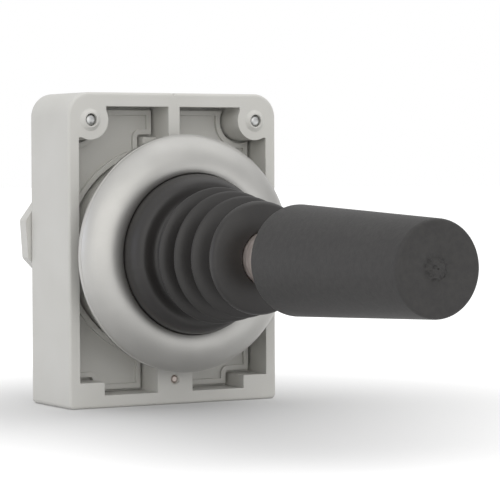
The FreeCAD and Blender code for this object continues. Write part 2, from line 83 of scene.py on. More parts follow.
# %% Units
MM = 0.001


def grain(size_mm):
    """The texture scale that gives features of this size."""
    return 1.0 / (size_mm * MM)


# %% [markdown]
# The camera stands where the photographer's did: 310 mm away, 30 degrees to the left of the axis and just above
# it. A long lens from close by gives the mild perspective that makes the adapter's left side taper. The angles
# and the place were found from the corners of the adapter and the outline of the ring.

# %% Camera
CAMERA_PLACE = Vector((-147.13, -272.98, 11.15)) * MM
CAMERA_YAW = math.radians(29.88)
CAMERA_PITCH = math.radians(1.99)
CAMERA_ROLL = math.radians(0.19)
LENS_MM = 176.9
SENSOR_MM = 36.0


def add_camera():
    data = bpy.data.cameras.new("camera")
    data.lens = LENS_MM
    data.sensor_width = SENSOR_MM
    data.clip_start = 0.01
    camera = bpy.data.objects.new("camera", data)
    level = Matrix.Rotation(-CAMERA_YAW, 4, "Z") @ Matrix.Rotation(math.pi / 2 - CAMERA_PITCH, 4, "X")
    camera.matrix_world = Matrix.Translation(CAMERA_PLACE) @ level @ Matrix.Rotation(-CAMERA_ROLL, 4, "Z")
    bpy.context.scene.collection.objects.link(camera)
    bpy.context.scene.camera = camera


add_camera()
bpy.context.scene.view_settings.view_transform = "Standard"

# %% [markdown]
# Colours are written as they look on a screen, in hex. The renderer counts light in linear values, so one function
# turns the one into the other. A second one adds a node, fills its sockets and joins it to the nodes before it.

# %% Colour and node helpers
RAMP_LOW = 0.3
RAMP_HIGH = 0.7
BEVEL_SAMPLES = 6


def linear(code):
    """An sRGB hex colour as the linear RGBA that a shader reads."""
    parts = [int(code[i:i + 2], 16) / 255 for i in (1, 3, 5)]
    return tuple(c / 12.92 if c <= 0.04045 else ((c + 0.055) / 1.055) ** 2.4 for c in parts) + (1.0,)


def add_node(tree, kind, values=None, links=None, **settings):
    """Adds a node with its own settings, values for its sockets and links into them."""
    new = tree.nodes.new(kind)
    for name, value in settings.items():
        setattr(new, name, value)
    for socket, value in (values or {}).items():
        new.inputs[socket].default_value = value
    for socket, output in (links or {}).items():
        tree.links.new(output, new.inputs[socket])
    return new


def new_material(name, **sockets):
    """A material with one principled shader, whose sockets are named with underscores for spaces."""
    material = bpy.data.materials.new(name)
    material.use_nodes = True
    tree = material.node_tree
    tree.nodes.clear()
    shader = add_node(tree, "ShaderNodeBsdfPrincipled",
                      {socket.replace("_", " "): value for socket, value in sockets.items()})
    add_node(tree, "ShaderNodeOutputMaterial", links={"Surface": shader.outputs[0]})
    place = add_node(tree, "ShaderNodeTexCoord").outputs["Object"]
    return material, tree, shader, place


def vary(tree, shader, pattern, dark, light):
    """Colours the shader between two tones by a pattern, over the middle of its range, where a noise mostly is."""
    ramp = add_node(tree, "ShaderNodeValToRGB", links={"Fac": pattern})
    ramp.color_ramp.elements[0].position = RAMP_LOW
    ramp.color_ramp.elements[0].color = linear(dark)
    ramp.color_ramp.elements[1].position = RAMP_HIGH
    ramp.color_ramp.elements[1].color = linear(light)
    tree.links.new(ramp.outputs["Color"], shader.inputs["Base Color"])


def spread(tree, shader, pattern, least, most):
    """Lets the roughness follow a pattern, between two values."""
    level = add_node(tree, "ShaderNodeMapRange", {"To Min": least, "To Max": most}, {"Value": pattern})
    tree.links.new(level.outputs["Result"], shader.inputs["Roughness"])


def emboss(tree, shader, pattern, height_mm, edge_mm=0.0):
    """Raises the surface by a pattern, over edges that are softened by a small radius."""
    bump = add_node(tree, "ShaderNodeBump", {"Strength": 1.0, "Distance": height_mm * MM}, {"Height": pattern})
    if edge_mm:
        edge = add_node(tree, "ShaderNodeBevel", {"Radius": edge_mm * MM}, samples=BEVEL_SAMPLES)
        tree.links.new(edge.outputs["Normal"], bump.inputs["Normal"])
    tree.links.new(bump.outputs["Normal"], shader.inputs["Normal"])


# %% [markdown]
# The adapter and its lock ring are light grey polyamide from an injection mould. The mould is eroded by sparks, so
# the plastic has a fine even grain that scatters the highlights. The real grain is about 0.05 mm, too fine to
# show, so it is drawn at 0.3 mm. A slow change of tone stands for the flow of the plastic in the mould.

# %% Light grey moulded polyamide


def grey_polyamide():
    material, tree, shader, place = new_material(
        "light_grey_moulded_polyamide", IOR=1.53, Specular_IOR_Level=0.45)
    flow = add_node(tree, "ShaderNodeTexNoise", {"Scale": grain(9.0), "Detail": 2.0}, {"Vector": place})
    vary(tree, shader, flow.outputs["Fac"], "#cccbc6", "#d2d1cd")
    sparks = add_node(tree, "ShaderNodeTexNoise", {"Scale": grain(0.3), "Detail": 3.0}, {"Vector": place})
    spread(tree, shader, sparks.outputs["Fac"], least=0.36, most=0.52)
    emboss(tree, shader, sparks.outputs["Fac"], height_mm=0.006, edge_mm=0.12)
    return material


# %% [markdown]
# The body in the panel, the gate and the plunger guide are black polyamide with glass fibre. Short fibres near the
# skin give a grain that runs one way, so the noise is stretched along the axis.

# %% Black glass-filled polyamide
ALONG_AXIS = (1.0, 0.2, 1.0)


def black_polyamide():
    material, tree, shader, place = new_material("black_glass_filled_polyamide", Roughness=0.5, IOR=1.53)
    along = add_node(tree, "ShaderNodeMapping", {"Scale": ALONG_AXIS}, {"Vector": place})
    fibres = add_node(tree, "ShaderNodeTexNoise", {"Scale": grain(0.3), "Detail": 3.0},
                      {"Vector": along.outputs["Vector"]})
    vary(tree, shader, fibres.outputs["Fac"], "#1d1d1e", "#2a2a2b")
    emboss(tree, shader, fibres.outputs["Fac"], height_mm=0.006, edge_mm=0.1)
    return material


# %% [markdown]
# The grip is moulded ABS with a leather-fine spark texture, made to keep its look under greasy hands. Its grains
# are about 0.25 mm, and a mottle of 0.7 mm comes from the plastic's flow. The tone is a dark grey, a trace warmer
# than neutral, and the highlights are broad.

# %% Dark grey textured ABS


def grip_abs():
    material, tree, shader, place = new_material("dark_grey_textured_abs", IOR=1.53, Specular_IOR_Level=0.25)
    mottle = add_node(tree, "ShaderNodeTexNoise", {"Scale": grain(0.7), "Detail": 4.0, "Roughness": 0.6},
                      {"Vector": place})
    vary(tree, shader, mottle.outputs["Fac"], "#3a3939", "#41403f")
    grains = add_node(tree, "ShaderNodeTexNoise", {"Scale": grain(0.25), "Detail": 3.0}, {"Vector": place})
    spread(tree, shader, grains.outputs["Fac"], least=0.46, most=0.6)
    emboss(tree, shader, grains.outputs["Fac"], height_mm=0.02, edge_mm=0.1)
    return material


# %% [markdown]
# The bellows are black nitrile rubber from a polished mould. A slow change of tone stands for the bloom that such
# rubber sweats out, and both the shine and the relief follow a fine grain of 0.2 mm. The panel gasket is cut from
# sheet, so it is duller and the same all over.

# %% Black nitrile rubber


def boot_rubber():
    material, tree, shader, place = new_material("black_nitrile_rubber", IOR=1.52, Specular_IOR_Level=0.5)
    bloom = add_node(tree, "ShaderNodeTexNoise", {"Scale": grain(4.0), "Detail": 3.0}, {"Vector": place})
    vary(tree, shader, bloom.outputs["Fac"], "#252322", "#2b2928")
    grains = add_node(tree, "ShaderNodeTexNoise", {"Scale": grain(0.2), "Detail": 3.0}, {"Vector": place})
    spread(tree, shader, grains.outputs["Fac"], least=0.34, most=0.46)
    emboss(tree, shader, grains.outputs["Fac"], height_mm=0.01)
    return material


def gasket_rubber():
    material, tree, shader, place = new_material("flat_black_rubber", IOR=1.5, Roughness=0.7)
    grains = add_node(tree, "ShaderNodeTexNoise", {"Scale": grain(0.3), "Detail": 3.0}, {"Vector": place})
    vary(tree, shader, grains.outputs["Fac"], "#1a1a1a", "#242424")
    emboss(tree, shader, grains.outputs["Fac"], height_mm=0.01)
    return material


# %% [markdown]
# A metal shows what is around it, and how it was finished decides how sharply. The bezel ring is stainless steel
# that was turned and then blasted with fine glass beads, so it shines softly and alike in every direction, with
# the last traces of the turning as faint rings. The rings follow the distance from the axis. The tool's feed was
# 0.08 mm a turn, and it is drawn at 0.35 mm so that it shows. The other metals are ground or drawn, and their marks
# run across the axis, which is round the rod, the screws and the bushes. So their noise is stretched that way.

# %% Metals
RING_FEED = 0.35
RING_SHARE = 0.15
ROUND_AXIS = (0.25, 1.0, 0.25)


def from_axis(tree, place):
    """The distance of a point from the joystick's axis, in metres."""
    split = add_node(tree, "ShaderNodeSeparateXYZ", links={"Vector": place})
    flat = add_node(tree, "ShaderNodeCombineXYZ",
                    links={"X": split.outputs["X"], "Y": split.outputs["Z"]})
    length = add_node(tree, "ShaderNodeVectorMath", links={0: flat.outputs["Vector"]}, operation="LENGTH")
    return length.outputs["Value"]


def satin_stainless():
    material, tree, shader, place = new_material("bead_blasted_stainless_steel", Metallic=1.0)
    beads = add_node(tree, "ShaderNodeTexNoise", {"Scale": grain(0.25), "Detail": 3.0}, {"Vector": place})
    cloud = add_node(tree, "ShaderNodeTexNoise", {"Scale": grain(5.0), "Detail": 2.0}, {"Vector": place})
    vary(tree, shader, cloud.outputs["Fac"], "#b6b5b2", "#bebdba")
    spread(tree, shader, beads.outputs["Fac"], least=0.36, most=0.48)
    turning = add_node(tree, "ShaderNodeMath", {1: 2 * math.pi / (RING_FEED * MM)},
                       {0: from_axis(tree, place)}, operation="MULTIPLY")
    rings = add_node(tree, "ShaderNodeMath", links={0: turning.outputs[0]}, operation="SINE")
    both = add_node(tree, "ShaderNodeMath", {1: RING_SHARE}, {0: rings.outputs[0], 2: beads.outputs["Fac"]},
                    operation="MULTIPLY_ADD")
    emboss(tree, shader, both.outputs[0], height_mm=0.002)
    return material


def ground_steel(name, dark, light, least, most):
    """A metal with fine marks that run across the joystick's axis."""
    material, tree, shader, place = new_material(name, Metallic=1.0)
    around = add_node(tree, "ShaderNodeMapping", {"Scale": ROUND_AXIS}, {"Vector": place})
    marks = add_node(tree, "ShaderNodeTexNoise", {"Scale": grain(0.3), "Detail": 4.0},
                     {"Vector": around.outputs["Vector"]})
    vary(tree, shader, marks.outputs["Fac"], dark, light)
    spread(tree, shader, marks.outputs["Fac"], least, most)
    emboss(tree, shader, marks.outputs["Fac"], height_mm=0.006, edge_mm=0.05)
    return material


# %% [markdown]
# The plungers, hub and disc are acetal, a slippery natural white plastic with a waxy shine that lets a little
# light in. No camera sees much of them, but the tips of the plungers show behind the adapter.

# %% Natural acetal


def natural_acetal():
    material, tree, shader, place = new_material(
        "natural_white_acetal", IOR=1.48, Subsurface_Weight=0.1, Subsurface_Scale=0.5 * MM)
    cloud = add_node(tree, "ShaderNodeTexNoise", {"Scale": grain(3.0), "Detail": 2.0}, {"Vector": place})
    vary(tree, shader, cloud.outputs["Fac"], "#d6d4cb", "#dfddd6")
    spread(tree, shader, cloud.outputs["Fac"], least=0.28, most=0.4)
    emboss(tree, shader, cloud.outputs["Fac"], height_mm=0.004, edge_mm=0.08)
    return material


# %% Which slot gets which finish
finishes = {
    "grey_plastic": grey_polyamide(),
    "black_plastic": black_polyamide(),
    "grip_plastic": grip_abs(),
    "satin_metal": satin_stainless(),
    "boot_rubber": boot_rubber(),
    "gasket_rubber": gasket_rubber(),
    "bright_steel": ground_steel("ground_bright_steel", "#c4b8b1", "#ddd3cd", least=0.42, most=0.6),
    "spring_steel": ground_steel("drawn_spring_steel", "#8d8e90", "#a5a6a8", least=0.25, most=0.4),
    "zinc_steel": ground_steel("zinc_plated_steel", "#b4b5b5", "#c6c7c6", least=0.28, most=0.4),
    "brass": ground_steel("turned_brass", "#c9a45c", "#d8b36a", least=0.22, most=0.36),
    "natural_plastic": natural_acetal(),
}
slot_of = {row["node"]: row["material_slot"] for row in frame["record"]["subparts"]}
for node, slot in slot_of.items():
    mesh = frame["nodes"][node].data
    mesh.materials.clear()
    mesh.materials.append(finishes[slot])
print("finishes:", len(finishes), "nodes:", len(slot_of))

# %% [markdown]
# Round pieces are turned: an outline of radius and place on the axis is spun about the Y axis. The spin closes on
# itself, doubles are merged, and the normals are recalculated, because a spin can come out inside out. Shading is
# smooth except at real edges, so a shine runs round the piece without facets. Where an outline curves, it is drawn
# between two points by two handles: the step on which it leaves the first, and the step from which it arrives at
# the second.

# %% Turning
FINE_STEPS = 192
SPIN_MERGE = 0.0005
SHARP_DEGREES = 32.0


def finish_piece(name, shape, slot, body=None, replaces=()):
    """Makes an object from a finished bmesh, with its material, its body and the nodes that it stands for."""
    mesh = bpy.data.meshes.new(name)
    shape.to_mesh(mesh)
    shape.free()
    piece = bpy.data.objects.new(name, mesh)
    bpy.context.scene.collection.objects.link(piece)
    mesh.materials.append(finishes[slot])
    if body:
        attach(piece, body)
    if replaces:
        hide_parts(*replaces)
    print(name, len(mesh.polygons), "faces")
    return piece


def smooth(shape):
    """Smooth faces, with the edges that turn by more than an angle kept sharp."""
    shape.normal_update()
    for face in shape.faces:
        face.smooth = True
    for edge in shape.edges:
        edge.smooth = len(edge.link_faces) == 2 and edge.calc_face_angle(0.0) < math.radians(SHARP_DEGREES)


def turn(outline_mm, steps=FINE_STEPS, closed=True):
    """A bmesh spun from an outline of (radius, place) points in millimetres."""
    shape = bmesh.new()
    points = [shape.verts.new((r * MM, y * MM, 0.0)) for r, y in outline_mm]
    pairs = list(zip(points, points[1:]))
    if closed:
        pairs.append((points[-1], points[0]))
    edges = [shape.edges.new(pair) for pair in pairs]
    bmesh.ops.spin(shape, geom=points + edges, cent=(0, 0, 0), axis=(0, 1, 0), angle=2 * math.pi,
                   steps=steps, use_merge=True)
    bmesh.ops.remove_doubles(shape, verts=shape.verts, dist=SPIN_MERGE * MM)
    bmesh.ops.recalc_face_normals(shape, faces=shape.faces)
    return shape


def bend(start, end, handles, points):
    """A smooth curve between two points of an outline. Each handle is a step away from its end of the curve."""
    leaving = (start[0] + handles[0][0], start[1] + handles[0][1])
    arriving = (end[0] + handles[1][0], end[1] + handles[1][1])
    curve = interpolate_bezier(*[Vector((r, y, 0.0)) for r, y in (start, leaving, arriving, end)], points)
    return [(p.x, p.y) for p in curve]


# %% [markdown]
# The bezel ring is the piece that catches the eye. Behind is a thin straight edge, then a fine groove, then a dome
# that rises steeply and flattens towards its crown, and a short soft roll in to the mouth, where the rubber comes
# out. The dome's curve decides where the soft light lands and the roll mirrors the dark rubber, so both are smooth
# curves with many points. The groove is written as steps in from the edge and back from the dome's foot.

# %% Bezel ring
bezel_low, bezel_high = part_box("bezel_ring")
BEZEL_RADIUS = bezel_high.x / MM
BEZEL_BACK = bezel_high.y / MM
BEZEL_CROWN = bezel_low.y / MM
EDGE_WIDTH = 0.6
EDGE_FRONT = BEZEL_BACK - EDGE_WIDTH
GROOVE = ((0.0, 0.14), (0.03, 0.08), (0.18, 0.04))
CROWN_RADIUS = 11.25
MOUTH_RADIUS = 10.05
HOLLOW_RADIUS = 13.9
SHOULDER_RADIUS = 12.3
CLAMP_FRONT = -2.35
HOLLOW_FRONT = -1.75
BEZEL_STEPS = 256
DOME_INSET = 0.1
DOME_HANDLES = ((-0.4, -1.05), (1.7, 0.0))
DOME_POINTS = 26
CROWN_DROP = 0.02
ROLL_HANDLES = ((-0.4, 0.0), (0.3, -0.1))
ROLL_POINTS = 10
LIP_WIDTH = 0.25
LIP_DROP = 0.17
LIP_LENGTH = 0.2
LIP_HANDLES = ((-0.1, 0.02), (0.0, -0.12))
LIP_POINTS = 5
RIM_ROUND = 0.06
RIM_POINTS = 4


def bezel_outline():
    foot = (BEZEL_RADIUS - DOME_INSET, EDGE_FRONT)
    crown = (CROWN_RADIUS, BEZEL_CROWN + CROWN_DROP)
    lip = (MOUTH_RADIUS + LIP_WIDTH, BEZEL_CROWN + LIP_DROP)
    mouth = (MOUTH_RADIUS, lip[1] + LIP_LENGTH)
    front = bend(foot, crown, DOME_HANDLES, DOME_POINTS)
    front += bend(crown, lip, ROLL_HANDLES, ROLL_POINTS)[1:]
    front += bend(lip, mouth, LIP_HANDLES, LIP_POINTS)[1:]
    back = [(MOUTH_RADIUS, CLAMP_FRONT), (SHOULDER_RADIUS, CLAMP_FRONT), (SHOULDER_RADIUS, HOLLOW_FRONT),
            (HOLLOW_RADIUS, HOLLOW_FRONT), (HOLLOW_RADIUS, BEZEL_BACK)]
    rim = bend((BEZEL_RADIUS - RIM_ROUND, BEZEL_BACK), (BEZEL_RADIUS, BEZEL_BACK - RIM_ROUND),
               ((RIM_ROUND, 0.0), (0.0, RIM_ROUND)), RIM_POINTS)
    return front + back + rim + [(BEZEL_RADIUS - deep, EDGE_FRONT + behind) for deep, behind in GROOVE]


bezel = turn(bezel_outline(), steps=BEZEL_STEPS)
smooth(bezel)
finish_piece("bezel", bezel, "satin_metal", "head", ["bezel_ring"])

# %% [markdown]
# The bellows are two skins: the base roll, and everything in front of the first valley. The two meet in that
# valley. A fold is a narrow ridge, and the valley between two folds is wide and deep, which short handles at the
# ridge and long ones in the valley give. The inside follows the outside at the rubber's thickness, as a moulded
# bellows does, which leaves the rod its room when the lever tilts.

# %% Bellows outline
FOLDS = ((8.4, -9.35), (7.95, -12.4), (7.38, -15.65), (6.83, -19.15))
BASE_RADIUS = 10.02
FLANGE_RADIUS = 12.2
ROLL_BACK = -3.4
ROLL_LEAVES = 1.4
ROLL_ARRIVES = (0.65, 0.1)
ROLL_SIDE_POINTS = 14
ROLL_FRONT = (8.75, -6.1)
INTO_VALLEY = ((-0.8, -0.12), (0.0, 1.0))
INTO_VALLEY_POINTS = 10
FIRST_VALLEY = (6.95, -6.95)
VALLEY_DEPTH = 2.5
RIDGE_HANDLE = 0.5
VALLEY_HANDLE = 1.1
FACE_EDGE = (6.3, -20.0)
FACE_HANDLES = ((0.0, -0.55), (0.3, 0.1))
FACE_POINTS = 10
FACE_MIDDLE = (3.6, -20.9)
FACE_INSET = 0.15
ROD_HOLE = 3.32
HOLE_BEVEL = (0.08, 0.1)
WALL = 0.5
FLANK_WALL = 0.35
SEAM_HEIGHT = 0.05
SEAM_ANGLE = 190.0
FLANK_POINTS = 12


def flank(valley, ridge, wall, flank_wall):
    """The outline from the bottom of a valley to the top of a ridge, outside or a wall's thickness inside."""
    step = math.copysign(1.0, ridge[1] - valley[1])
    low = (valley[0] - wall, valley[1])
    high = (ridge[0] - wall, ridge[1])
    handles = ((0.0, step * (VALLEY_HANDLE + flank_wall)), (0.0, -step * (RIDGE_HANDLE - flank_wall)))
    return bend(low, high, handles, FLANK_POINTS)


def mould_line(shape, angle, height_mm):
    """Raises the one line of points that the mould's halves leave on the rubber, on both sides."""
    for vert in shape.verts:
        turned = math.degrees(math.atan2(vert.co.z, vert.co.x)) - angle
        off = abs((turned + 90.0) % 180.0 - 90.0)
        if off < 180.0 / FINE_STEPS:
            outward = Vector((vert.co.x, 0.0, vert.co.z)).normalized()
            vert.co += outward * height_mm * MM


def base_roll():
    """The roll at the ring, with the flange that the ring clamps."""
    sides = []
    for wall, clamped in ((0.0, CLAMP_FRONT), (WALL, HOLLOW_FRONT)):
        radius = BASE_RADIUS - wall
        shoulder = (ROLL_FRONT[0] - wall, ROLL_FRONT[1] + wall)
        valley = (FIRST_VALLEY[0] - wall, FIRST_VALLEY[1])
        side = [(radius, clamped)]
        side += bend((radius, ROLL_BACK), shoulder, ((0.0, wall - ROLL_LEAVES), ROLL_ARRIVES), ROLL_SIDE_POINTS)
        side += bend(shoulder, valley, INTO_VALLEY, INTO_VALLEY_POINTS)[1:]
        sides.append(side)
    outside, inside = sides
    flange = [(FLANGE_RADIUS, HOLLOW_FRONT), (FLANGE_RADIUS, CLAMP_FRONT)]
    return outside + inside[::-1] + flange


def fold_outline(wall=0.0, flank_wall=0.0):
    """All folds from the first valley to the last ridge."""
    valleys = [FIRST_VALLEY]
    for rear, front in zip(FOLDS, FOLDS[1:]):
        valleys.append(((rear[0] + front[0]) / 2 - VALLEY_DEPTH, (rear[1] + front[1]) / 2))
    points = []
    for i, ridge in enumerate(FOLDS):
        if i:
            points += flank(valleys[i], FOLDS[i - 1], wall, flank_wall)[::-1][1:]
        points += flank(valleys[i], ridge, wall, flank_wall)[1 if i else 0:]
    return points


def bellows():
    """The folds and the blunt face round the rod, outside and inside."""
    outside, inside = fold_outline(), fold_outline(WALL, FLANK_WALL)
    face = FACE_MIDDLE[1]
    outside += bend(outside[-1], FACE_EDGE, FACE_HANDLES, FACE_POINTS)[1:]
    outside += [FACE_MIDDLE, (ROD_HOLE + HOLE_BEVEL[0], face), (ROD_HOLE, face + HOLE_BEVEL[1])]
    inside += [(FACE_EDGE[0] - FACE_INSET, FACE_EDGE[1] + WALL), (ROD_HOLE, face + WALL)]
    return outside + inside[::-1]


roll_shape = turn(base_roll())
mould_line(roll_shape, SEAM_ANGLE, SEAM_HEIGHT)
smooth(roll_shape)
roll_piece = finish_piece("boot_base_roll", roll_shape, "boot_rubber", replaces=["boot"])
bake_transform(roll_piece)

folds_shape = turn(bellows())
mould_line(folds_shape, SEAM_ANGLE, SEAM_HEIGHT)
smooth(folds_shape)
folds_piece = finish_piece("boot_folds", folds_shape, "boot_rubber", replaces=["boot"])
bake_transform(folds_piece)

# %% [markdown]
# The grip is a slow taper with softly broken edges and a stepped bore for the rod and its brass bush. In the middle
# of its end is the mark that the mould's gate leaves: a shallow ring, roughened where the sprue was torn off. It is
# 2.8 mm wide, with a slope around it, and without it the end looks drawn rather than moulded.

# %% Grip
grip_low, grip_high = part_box("grip")
GRIP_REAR = grip_high.y / MM
GRIP_FRONT = grip_low.y / MM
REAR_RADIUS = grip_high.x / MM
FRONT_RADIUS = 5.4
GATE_RADIUS = 1.4
GATE_DEPTH = 0.32
GATE_GRAIN = 0.5
GATE_SLOPE = 2.4
GATE_PARTS = 20
END_FLAT = 4.0
FRONT_ROUND = 0.5
FRONT_HANDLE = 0.7
FRONT_POINTS = 9
REAR_ROUND = 0.35
REAR_HANDLE = 0.25
REAR_POINTS = 7
SIDE_SHARES = (0.75, 0.5, 0.25)
ROD_BORE = 3.1
BORE_TIP = 8.0
BORE_CONE = 10.0
BUSH_BORE = 4.41
BUSH_DEPTH = 13.0
BUSH_MOUTH = 4.6
BUSH_BEVEL = 0.2


def gate_depth(radius):
    """How deep the ring of the gate mark is at a distance from its middle."""
    return GATE_DEPTH * math.sin(math.pi * min(1.0, 1.5 - radius / GATE_RADIUS)) ** 2


def grip_outline():
    length = GRIP_REAR - GRIP_FRONT
    slope = (REAR_RADIUS - FRONT_RADIUS) / length
    side = (FRONT_RADIUS + slope * FRONT_ROUND, GRIP_FRONT + FRONT_ROUND)
    handle = FRONT_HANDLE * FRONT_ROUND
    end = bend(side, (FRONT_RADIUS - FRONT_ROUND, GRIP_FRONT), ((-slope * FRONT_ROUND, -handle), (handle, 0.0)),
               FRONT_POINTS)
    flat = [(END_FLAT, GRIP_FRONT), (GATE_SLOPE, GRIP_FRONT)]
    radii = [part / GATE_PARTS for part in range(int(GATE_PARTS * GATE_RADIUS), 1, -2)]
    gate = [(radius, GRIP_FRONT + gate_depth(radius)) for radius in radii] + [(0.0, GRIP_FRONT + GATE_DEPTH)]
    bore = [(0.0, GRIP_FRONT + BORE_TIP), (ROD_BORE, GRIP_FRONT + BORE_CONE), (ROD_BORE, GRIP_REAR - BUSH_DEPTH),
            (BUSH_BORE, GRIP_REAR - BUSH_DEPTH), (BUSH_BORE, GRIP_REAR - BUSH_BEVEL), (BUSH_MOUTH, GRIP_REAR)]
    rear = bend((REAR_RADIUS - REAR_ROUND, GRIP_REAR), (REAR_RADIUS - slope * REAR_ROUND, GRIP_REAR - REAR_ROUND),
                ((REAR_HANDLE, 0.0), (slope * REAR_ROUND, REAR_HANDLE)), REAR_POINTS)
    straight = length - FRONT_ROUND - REAR_ROUND
    body = [(side[0] + slope * share * straight, side[1] + share * straight) for share in SIDE_SHARES]
    return end + flat + gate + bore + rear + body


def tear_gate(shape):
    """Roughens the gate mark, where the sprue was torn off."""
    for vert in shape.verts:
        in_front = vert.co.y < (GRIP_FRONT + 2 * GATE_DEPTH) * MM
        if in_front and math.hypot(vert.co.x, vert.co.z) < GATE_RADIUS * MM:
            vert.co.y += abs(noise.noise(vert.co / (GATE_GRAIN * MM))) * GATE_DEPTH * MM


grip_shape = turn(grip_outline())
tear_gate(grip_shape)
smooth(grip_shape)
finish_piece("grip_handle", grip_shape, "grip_plastic", "lever", ["grip"])

# %% [markdown]
# The adapter's shape comes whole from the mechanical model, as triangles with hard edges. A copy of it is merged,
# its flat triangles are joined into clean faces, and it is shaded smooth up to its real edges. The lock ring, the
# screws, the pin and the rod are cleaned in the same way. The screws also get domed ends, which stand forward a
# little and almost fill the raised collars round them.

# %% Clean copies
CLEANED = (("adapter_frame", "head"), ("lock_ring", "lock"), ("clamp_screws", "head"), ("locating_pin", "head"),
           ("lever_shaft", "lever"))
COPY_MERGE = 0.001
FLAT_DEGREES = 0.5
TIP_RADIUS = 0.74
TIP_RISE = 0.4
TIP_FLAT = 0.04
TIP_ROUND = 0.5
TIP_HANDLES = ((0.38, 0.0), (0.0, -0.34))
TIP_POINTS = 10
TIP_LENGTH = 1.2
TIP_STEPS = 48
SCREW_X = 11.8
SCREW_Z = 16.8


def cleaned_copy(node):
    """A bmesh of a node's triangles, merged, with its flat areas joined."""
    shape = bmesh.new()
    shape.from_mesh(frame["nodes"][node].data)
    bmesh.ops.remove_doubles(shape, verts=shape.verts, dist=COPY_MERGE * MM)
    bmesh.ops.dissolve_limit(shape, angle_limit=math.radians(FLAT_DEGREES), verts=shape.verts, edges=shape.edges)
    bmesh.ops.recalc_face_normals(shape, faces=shape.faces)
    return shape


def add_tips(shape):
    """Adds the domed ends of both screws."""
    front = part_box("clamp_screws")[0].y / MM - TIP_RISE
    dome = bend((TIP_FLAT, front), (TIP_RADIUS, front + TIP_ROUND), TIP_HANDLES, TIP_POINTS)
    outline = [(0.0, front)] + dome + [(TIP_RADIUS, front + TIP_LENGTH), (0.0, front + TIP_LENGTH)]
    for x in (-SCREW_X, SCREW_X):
        tip = turn(outline, steps=TIP_STEPS, closed=False)
        bmesh.ops.translate(tip, verts=tip.verts, vec=(x * MM, 0, SCREW_Z * MM))
        carrier = bpy.data.meshes.new("screw_tip")
        tip.to_mesh(carrier)
        tip.free()
        shape.from_mesh(carrier)
        bpy.data.meshes.remove(carrier)


for node, body in CLEANED:
    copy = cleaned_copy(node)
    if node == "clamp_screws":
        add_tips(copy)
    smooth(copy)
    finish_piece(node + "_skin", copy, slot_of[node], body, [node])

# %% [markdown]
# The springs sit inside, where only a cut or a lifted piece shows them. In the joystick, a plunger's spring is held
# by the head at one end and follows its plunger at the other, so it shortens as the plunger comes back, and the
# wide spring follows the lever in front and the head behind, while the lever tilts in two steps, through the
# gimbal. Here each plunger's spring is a clean copy, and the wide spring's coil is cut in the middle into a front
# and a rear half.

# %% Springs
CUT_MERGE = 0.0001

for side in ("right", "up", "left", "down"):
    node = "plunger_spring_" + side
    low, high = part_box(node)
    coil = cleaned_copy(node)
    smooth(coil)
    piece = finish_piece(node + "_skin", coil, slot_of[node], replaces=[node])
    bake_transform(piece)

low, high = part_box("centering_spring")
halfway = (low.y + high.y) / 2
halves = (("front", ("lever", "gimbal"), (low.y, halfway)),
          ("rear", ("gimbal", "head"), (halfway, high.y)))
for half, bodies, ends in halves:
    coil = cleaned_copy("centering_spring")
    cut = bmesh.ops.bisect_plane(coil, geom=coil.verts[:] + coil.edges[:] + coil.faces[:], dist=CUT_MERGE * MM,
                                 plane_co=(0, halfway, 0), plane_no=(0, 1, 0), clear_outer=half == "front",
                                 clear_inner=half == "rear")
    open_ends = [e for e in cut["geom_cut"] if isinstance(e, bmesh.types.BMEdge)]
    bmesh.ops.holes_fill(coil, edges=open_ends, sides=0)
    bmesh.ops.recalc_face_normals(coil, faces=coil.faces)
    smooth(coil)
    piece = finish_piece("centering_spring_" + half, coil, slot_of["centering_spring"], replaces=["centering_spring"])
    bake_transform(piece)

# %% [markdown]
# The joystick stands on a plain pale floor. Where the camera sees the floor and the world directly, they are
# lifted to white, as in a picture for a catalogue, and the floor keeps the shadow. The lift fades out towards the
# joystick, so the floor is greyer round its base. That is a painted shade, which the ring and the grip's underside
# mirror too. The lever's tilt takes the grip's end 1.7 mm lower than the adapter's foot, so the floor has a flat
# dip there. The light itself is a light tent: soft from every side, brightest at the upper left in front. Metal and
# gloss mirror the white backdrop behind the joystick, and in front of it the tent, so the metal ring has something to
# show.

# %% Floor and world
FLOOR_SIZE = 6.0
FLOOR_STEPS = 96
FLOOR_TONE = (0.62, 0.62, 0.62, 1.0)
FLOOR_TONE_SEEN = (0.58, 0.58, 0.58, 1.0)
FLOOR_LIFT = 0.66
WHITE = (1.0, 1.0, 1.0, 1.0)
TENT_BRIGHTEST = (-0.4, -0.5, 0.77)
TENT_DIM = 0.32
TENT_BRIGHT = 1.05
# The floor's white lift rises from nought here to full at WHITE_FROM, which leaves painted shade round the joystick.
PAINTED_SHADOW_REACH = 0.0
WHITE_FROM = 0.085
DIP_PLACE = (0.0, -54.0)
DIP_DEPTH = 2.3
DIP_FLAT = 19.0
DIP_EDGE = 50.0
DIP_HANDLES = ((14.0, 0.0), (-14.0, 0.0))
DIP_POINTS = 16
BACKDROP_FADES_IN = (-0.1, 0.4)
BACKDROP_FADES_OUT = (0.45, 0.2)


def seen_directly(tree):
    """One for rays from the camera, from a gloss or through glass, and nought for the rest."""
    path = add_node(tree, "ShaderNodeLightPath")
    some = add_node(tree, "ShaderNodeMath", links={0: path.outputs["Is Camera Ray"],
                                                   1: path.outputs["Is Glossy Ray"]}, operation="MAXIMUM")
    return add_node(tree, "ShaderNodeMath", links={0: some.outputs[0], 1: path.outputs["Is Transmission Ray"]},
                    operation="MAXIMUM").outputs[0]


